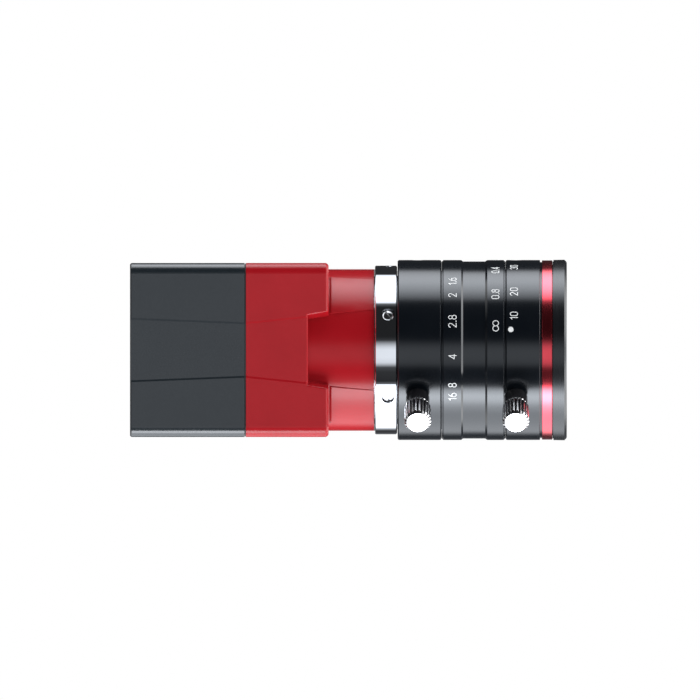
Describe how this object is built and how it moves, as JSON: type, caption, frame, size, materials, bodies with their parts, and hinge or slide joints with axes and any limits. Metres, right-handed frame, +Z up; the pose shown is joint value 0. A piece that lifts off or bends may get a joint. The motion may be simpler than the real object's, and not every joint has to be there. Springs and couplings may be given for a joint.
{
  "type": "machine vision camera",
  "caption": "Compact square machine vision camera with a fixed focal length screw-mount lens that has turning iris and focus rings with knurled lock screws.",
  "frame": {"origin": "midway between the two M3 mounting holes, on the underside of the front housing", "axes": "+X along the optical axis towards the front of the lens, +Z up"},
  "size_m": [0.0728, 0.0369, 0.03],
  "materials": {
    "anodised_grey": "fine matt dark grey coating on aluminium",
    "anodised_red": "fine satin red coating on aluminium",
    "seal_black": "matt black seal",
    "panel_black": "black anodised panel",
    "screw_black": "black oxide steel",
    "screw_steel": "plain stainless steel",
    "port_steel": "formed stainless shell",
    "port_black": "black moulded insulator",
    "contact_gold": "gold flash",
    "light_pipe": "clear moulded light guide",
    "board_green": "solder resist on glass fibre board",
    "chip_black": "moulded package",
    "ceramic_grey": "ceramic package",
    "silicon": "polished silicon",
    "cover_glass": "clear cover glass",
    "filter_glass": "infrared cut filter",
    "lens_chrome": "bright chrome with turned grain",
    "barrel_black": "black anodised, fine turned grain",
    "barrel_inner": "matt black anodised inner parts",
    "accent_red": "red anodised, bright turned",
    "optical_glass": "coated optical glass",
    "blade_black": "dry film coated spring steel",
    "pad_brass": "plain brass"
  },
  "bodies": {
    "camera": {"rear_housing": "anodised_grey", "housing_gasket": "seal_black", "front_housing": "anodised_red", "rear_panel": "panel_black", "rear_panel_screws": "screw_black", "data_port_shell": "port_steel", "data_port_tongue": "port_black", "data_port_contacts": "contact_gold", "signal_port_shell": "port_steel", "signal_port_insert": "port_black", "signal_port_pins": "contact_gold", "status_light_pipe": "light_pipe", "interface_board": "board_green", "processor_board": "board_green", "sensor_board": "board_green", "processor_chip": "chip_black", "board_connectors": "port_black", "board_spacers": "pad_brass", "board_screws": "screw_steel", "image_sensor": "ceramic_grey", "sensor_die": "silicon", "sensor_cover_glass": "cover_glass", "filter_holder": "barrel_inner", "infrared_filter": "filter_glass", "lens_mount_ring": "lens_chrome", "mount_grub_screws": "screw_steel", "centre_barrel": "barrel_black", "focus_guide_key": "screw_black"},
    "iris_ring": {"iris_ring": "barrel_black", "iris_drive_pin": "screw_black"},
    "iris_lock_pad": {"iris_lock_pad": "pad_brass"},
    "iris_lock_screw": {"iris_lock_screw": "screw_steel"},
    "lens_cell": {"lens_cell": "barrel_inner", "front_lens": "optical_glass", "front_doublet_a": "optical_glass", "front_doublet_b": "optical_glass", "front_lens_spacer": "barrel_inner", "front_lens_retainer": "barrel_inner", "rear_lens_cell": "barrel_inner", "rear_doublet_a": "optical_glass", "rear_doublet_b": "optical_glass", "rear_lens": "optical_glass", "rear_lens_retainer": "barrel_inner", "rear_doublet_retainer": "barrel_inner", "iris_base_plate": "barrel_inner"},
    "iris_cam": {"iris_cam_ring": "barrel_inner"},
    "focus_ring": {"focus_ring": "barrel_black", "accent_ring": "accent_red", "front_bezel": "barrel_black", "cell_retaining_ring": "barrel_inner"},
    "focus_lock_pad": {"focus_lock_pad": "pad_brass"},
    "focus_lock_screw": {"focus_lock_screw": "screw_steel"},
    "iris_blade_1": {"iris_blade_1": "blade_black"},
    "iris_blade_2": {"iris_blade_2": "blade_black"},
    "iris_blade_3": {"iris_blade_3": "blade_black"},
    "iris_blade_4": {"iris_blade_4": "blade_black"},
    "iris_blade_5": {"iris_blade_5": "blade_black"},
    "iris_blade_6": {"iris_blade_6": "blade_black"}
  },
  "joints": [
    {"name": "iris_turn", "type": "hinge", "parent": "camera", "child": "iris_ring", "pos_m": [0.02025, 0, 0.0145], "axis": [1, 0, 0], "range_deg": [-32.6, 50]},
    {"name": "iris_lock_lift", "type": "slide", "parent": "iris_ring", "child": "iris_lock_pad", "axis": [0, -0.866, -0.5], "range_m": [0, 0.0006]},
    {"name": "iris_lock_turn", "type": "hinge", "parent": "iris_lock_pad", "child": "iris_lock_screw", "pos_m": [0.01995, -0.01299, 0.007], "axis": [0, -0.866, -0.5], "range_deg": [0, 540.2]},
    {"name": "focus_travel", "type": "slide", "parent": "camera", "child": "lens_cell", "axis": [1, 0, 0], "range_m": [0, 0.0036]},
    {"name": "focus_turn", "type": "hinge", "parent": "lens_cell", "child": "focus_ring", "pos_m": [0.037, 0, 0.0145], "axis": [-1, 0, 0], "range_deg": [0, 108.06]},
    {"name": "focus_lock_lift", "type": "slide", "parent": "focus_ring", "child": "focus_lock_pad", "axis": [0, -0.866, -0.5], "range_m": [0, 0.0006]},
    {"name": "focus_lock_turn", "type": "hinge", "parent": "focus_lock_pad", "child": "focus_lock_screw", "pos_m": [0.0363, -0.01299, 0.007], "axis": [0, -0.866, -0.5], "range_deg": [0, 540.2]},
    {"name": "iris_cam_turn", "type": "hinge", "parent": "lens_cell", "child": "iris_cam", "pos_m": [0.022, 0, 0.0145], "axis": [1, 0, 0], "range_deg": [-32.6, 50]},
    {"name": "iris_blade_1_swing", "type": "hinge", "parent": "lens_cell", "child": "iris_blade_1", "pos_m": [0.02565, 0.0096, 0.0145], "axis": [1, 0, 0], "range_deg": [-10.11, 15.51]},
    {"name": "iris_blade_2_swing", "type": "hinge", "parent": "lens_cell", "child": "iris_blade_2", "pos_m": [0.02565, 0.0048, 0.02281], "axis": [1, 0, 0], "range_deg": [-10.11, 15.51]},
    {"name": "iris_blade_3_swing", "type": "hinge", "parent": "lens_cell", "child": "iris_blade_3", "pos_m": [0.02565, -0.0048, 0.02281], "axis": [1, 0, 0], "range_deg": [-10.11, 15.51]},
    {"name": "iris_blade_4_swing", "type": "hinge", "parent": "lens_cell", "child": "iris_blade_4", "pos_m": [0.02565, -0.0096, 0.0145], "axis": [1, 0, 0], "range_deg": [-10.11, 15.51]},
    {"name": "iris_blade_5_swing", "type": "hinge", "parent": "lens_cell", "child": "iris_blade_5", "pos_m": [0.02565, -0.0048, 0.00619], "axis": [1, 0, 0], "range_deg": [-10.11, 15.51]},
    {"name": "iris_blade_6_swing", "type": "hinge", "parent": "lens_cell", "child": "iris_blade_6", "pos_m": [0.02565, 0.0048, 0.00619], "axis": [1, 0, 0], "range_deg": [-10.11, 15.51]}
  ],
  "couplings": [
    {"joint": "iris_lock_turn", "follows": "iris_lock_lift", "rad_per_m": 15708},
    {"joint": "focus_lock_turn", "follows": "focus_lock_lift", "rad_per_m": 15708},
    {"joint": "focus_turn", "follows": "focus_travel", "rad_per_m": 523.6},
    {"joint": "iris_cam_turn", "follows": "iris_turn", "ratio": 1},
    {"joint": "iris_blade_1_swing", "follows": "iris_turn", "ratio": 0.31},
    {"joint": "iris_blade_2_swing", "follows": "iris_turn", "ratio": 0.31},
    {"joint": "iris_blade_3_swing", "follows": "iris_turn", "ratio": 0.31},
    {"joint": "iris_blade_4_swing", "follows": "iris_turn", "ratio": 0.31},
    {"joint": "iris_blade_5_swing", "follows": "iris_turn", "ratio": 0.31},
    {"joint": "iris_blade_6_swing", "follows": "iris_turn", "ratio": 0.31}
  ]
}
